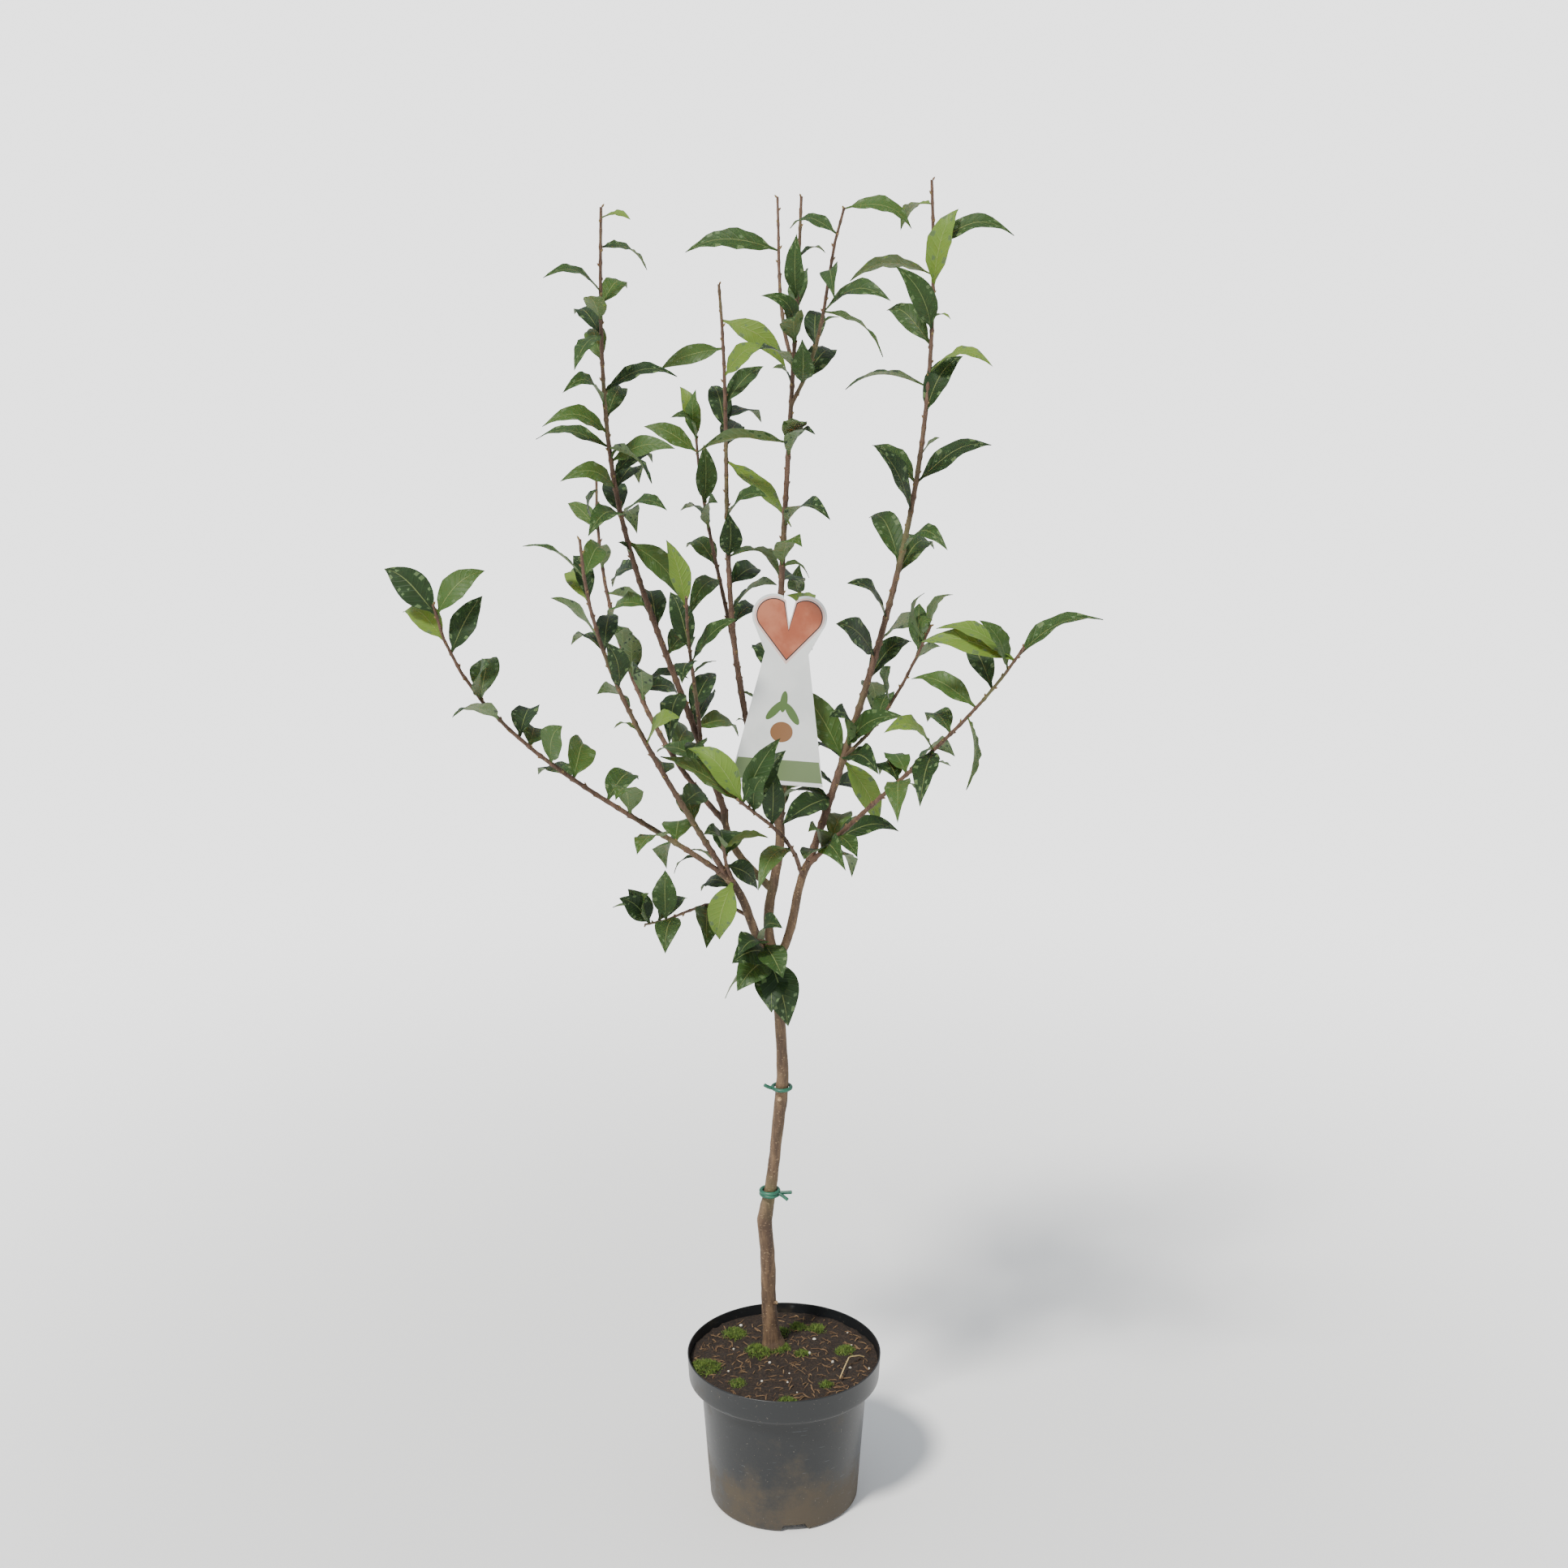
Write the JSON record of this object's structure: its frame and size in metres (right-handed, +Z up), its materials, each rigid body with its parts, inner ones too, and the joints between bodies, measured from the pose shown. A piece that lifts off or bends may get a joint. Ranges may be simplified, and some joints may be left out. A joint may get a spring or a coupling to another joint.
{
  "type": "potted medlar tree",
  "caption": "Young grafted medlar in leaf: bare lower stem with soft ties, forked open crown of long leaves, hanging heart-topped card, round nursery pot with compost.",
  "frame": {"origin": "middle of the pot's flat underside", "axes": "+Z up along the tree, -Y towards the front of the tree, +X to the right as seen from the front"},
  "size_m": [0.7415, 0.4758, 1.5482],
  "materials": {
    "pot_plastic": "semi-matt, dusty",
    "compost": "rough, damp",
    "trunk_bark": "matt bark",
    "bough_bark": "matt bark",
    "tie_tube": "soft satin tube",
    "card_plastic": "satin card",
    "foliage": "soft sheen"
  },
  "bodies": {
    "root": {"pot": "pot_plastic", "compost": "compost", "trunk": "trunk_bark", "leader_bough": "bough_bark", "right_bough": "bough_bark", "left_bough": "bough_bark", "inner_bough": "bough_bark", "lower_tie": "tie_tube", "upper_tie": "tie_tube", "name_card": "card_plastic", "right_tall_shoot": "foliage", "right_low_shoot": "foliage", "front_shoot": "foliage", "leader_shoot": "foliage", "left_centre_shoot": "foliage", "left_tall_shoot": "foliage", "left_back_shoot": "foliage", "left_low_shoot": "foliage", "left_front_shoot": "foliage", "lowest_shoot": "foliage", "trunk_leaves": "foliage", "knot_leaves": "foliage", "back_shoot": "foliage"}
  },
  "joints": []
}
